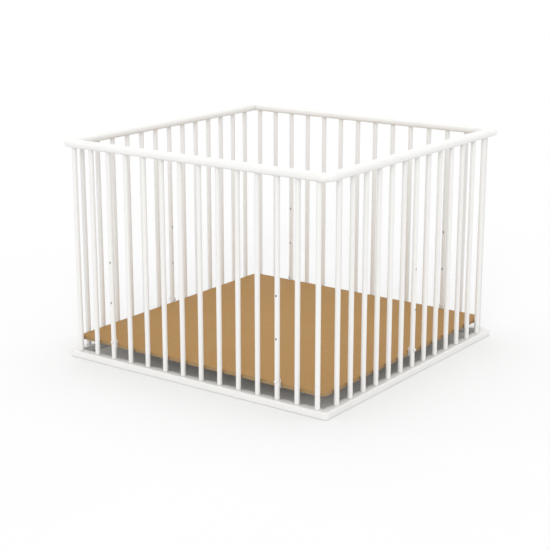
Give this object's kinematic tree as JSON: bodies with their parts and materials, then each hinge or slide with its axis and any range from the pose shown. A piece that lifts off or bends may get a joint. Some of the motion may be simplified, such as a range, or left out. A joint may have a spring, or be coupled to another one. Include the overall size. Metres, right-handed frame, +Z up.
{
  "type": "playpen",
  "caption": "Square wooden playpen: round white-lacquered bars between rounded rails, with a lift-up floor board that rests on brackets at one of several heights.",
  "frame": {"origin": "on the ground under the middle of the playpen", "axes": "+Z up, -Y towards the front side, +X to the right seen from the front"},
  "size_m": [1, 1, 0.7],
  "materials": {
    "white_lacquer": "smooth white satin lacquer",
    "beech": "plain turned beech",
    "hardboard": "smooth tan hardboard, sealed",
    "white_steel": "white powder coat",
    "zinc_steel": "zinc plated"
  },
  "bodies": {
    "frame": {"front_top_rail": "white_lacquer", "right_top_rail": "white_lacquer", "rear_top_rail": "white_lacquer", "left_top_rail": "white_lacquer", "front_bottom_rail": "white_lacquer", "rear_bottom_rail": "white_lacquer", "left_bottom_rail_and_bars": "white_lacquer", "right_bottom_rail_and_bars": "white_lacquer", "front_bar_01": "white_lacquer", "front_bar_02": "white_lacquer", "front_bar_03": "white_lacquer", "front_bar_04": "white_lacquer", "front_bar_05": "white_lacquer", "front_bar_06": "white_lacquer", "front_bar_07": "white_lacquer", "front_bar_08": "white_lacquer", "front_bar_09": "white_lacquer", "front_bar_10": "white_lacquer", "front_bar_11": "white_lacquer", "front_bar_12": "white_lacquer", "front_bar_13": "white_lacquer", "front_bar_14": "white_lacquer", "rear_bar_01": "white_lacquer", "rear_bar_02": "white_lacquer", "rear_bar_03": "white_lacquer", "rear_bar_04": "white_lacquer", "rear_bar_05": "white_lacquer", "rear_bar_06": "white_lacquer", "rear_bar_07": "white_lacquer", "rear_bar_08": "white_lacquer", "rear_bar_09": "white_lacquer", "rear_bar_10": "white_lacquer", "rear_bar_11": "white_lacquer", "rear_bar_12": "white_lacquer", "rear_bar_13": "white_lacquer", "rear_bar_14": "white_lacquer", "top_dowel_front_right": "beech", "top_dowel_rear_right": "beech", "top_dowel_rear_left": "beech", "top_dowel_front_left": "beech", "bottom_dowel_front_right": "beech", "bottom_dowel_rear_right": "beech", "bottom_dowel_rear_left": "beech", "bottom_dowel_front_left": "beech", "support_bracket_front_left": "white_steel", "support_bracket_front_right": "white_steel", "support_bracket_right": "white_steel", "support_bracket_rear_left": "white_steel", "support_bracket_rear_right": "white_steel", "support_bracket_left": "white_steel", "support_bolt_front_left": "zinc_steel", "support_bolt_front_right": "zinc_steel", "support_bolt_right": "zinc_steel", "support_bolt_rear_left": "zinc_steel", "support_bolt_rear_right": "zinc_steel", "support_bolt_left": "zinc_steel"},
    "floor": {"floor_board": "hardboard"}
  },
  "joints": [
    {"name": "floor_lift", "type": "slide", "parent": "frame", "child": "floor", "axis": [0, 0, 1], "range_m": [0, 0.256]}
  ]
}
